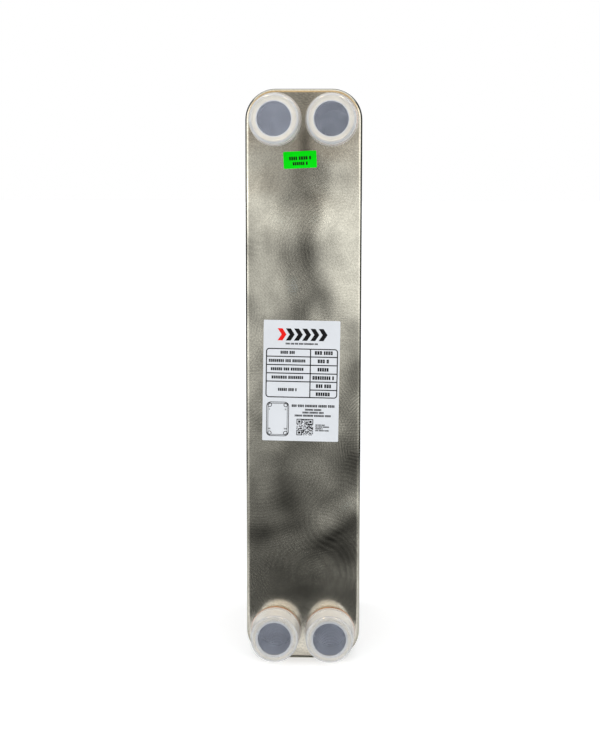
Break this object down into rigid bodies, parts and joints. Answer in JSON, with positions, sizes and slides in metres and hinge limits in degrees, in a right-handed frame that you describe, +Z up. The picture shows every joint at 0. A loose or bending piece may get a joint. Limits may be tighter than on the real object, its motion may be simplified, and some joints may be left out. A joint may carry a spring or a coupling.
{
  "type": "plate heat exchanger",
  "caption": "Upright brazed plate heat exchanger: a tall stack of pressed steel plates with threaded ports on the front, each under a pull-off plastic cap.",
  "frame": {"origin": "centre of the bounding box's lower face, on the surface that the plate edges stand on, caps included", "axes": "+Z up along the plates, -Y out of the front face with the ports, +X to the right seen from the front"},
  "size_m": [0.104, 0.2284, 0.52],
  "materials": {
    "cover_steel": "stainless cover sheet, swirl-brushed, warm grey",
    "plate_steel": "pressed stainless sheet, mill finish after furnace brazing",
    "turned_steel": "turned stainless steel",
    "copper": "solidified brazing copper",
    "cap_plastic": "translucent natural polyethylene",
    "label_film": "white printed film",
    "green_film": "bright green printed film"
  },
  "bodies": {
    "stack": {"front_cover_plate": "cover_steel", "front_end_plate": "plate_steel", "back_end_plate": "plate_steel", "back_cover_plate": "cover_steel", "nozzle_top_left": "turned_steel", "nozzle_top_right": "turned_steel", "nozzle_bottom_left": "turned_steel", "nozzle_bottom_right": "turned_steel", "braze_ring_top_left": "copper", "braze_ring_top_right": "copper", "braze_ring_bottom_left": "copper", "braze_ring_bottom_right": "copper", "port_ring_top_left": "plate_steel", "port_ring_top_right": "plate_steel", "port_ring_bottom_left": "plate_steel", "port_ring_bottom_right": "plate_steel", "data_label": "label_film", "test_sticker": "green_film", "channel_plates_01": "plate_steel", "channel_plates_02": "plate_steel", "channel_plates_03": "plate_steel", "channel_plates_04": "plate_steel", "channel_plates_05": "plate_steel", "channel_plates_06": "plate_steel", "channel_plates_07": "plate_steel", "channel_plates_08": "plate_steel", "channel_plates_09": "plate_steel", "channel_plates_10": "plate_steel", "channel_plates_11": "plate_steel", "channel_plates_12": "plate_steel", "channel_plates_13": "plate_steel", "channel_plates_14": "plate_steel", "channel_plates_15": "plate_steel", "channel_plates_16": "plate_steel", "channel_plates_17": "plate_steel", "channel_plates_18": "plate_steel", "channel_plates_19": "plate_steel", "channel_plates_20": "plate_steel"},
    "cap_top_left": {"cap_top_left": "cap_plastic"},
    "cap_top_right": {"cap_top_right": "cap_plastic"},
    "cap_bottom_left": {"cap_bottom_left": "cap_plastic"},
    "cap_bottom_right": {"cap_bottom_right": "cap_plastic"}
  },
  "joints": [
    {"name": "cap_top_left_pull", "type": "slide", "parent": "stack", "child": "cap_top_left", "axis": [0, -1, 0], "range_m": [0, 0.06]},
    {"name": "cap_top_right_pull", "type": "slide", "parent": "stack", "child": "cap_top_right", "axis": [0, -1, 0], "range_m": [0, 0.06]},
    {"name": "cap_bottom_left_pull", "type": "slide", "parent": "stack", "child": "cap_bottom_left", "axis": [0, -1, 0], "range_m": [0, 0.06]},
    {"name": "cap_bottom_right_pull", "type": "slide", "parent": "stack", "child": "cap_bottom_right", "axis": [0, -1, 0], "range_m": [0, 0.06]}
  ]
}
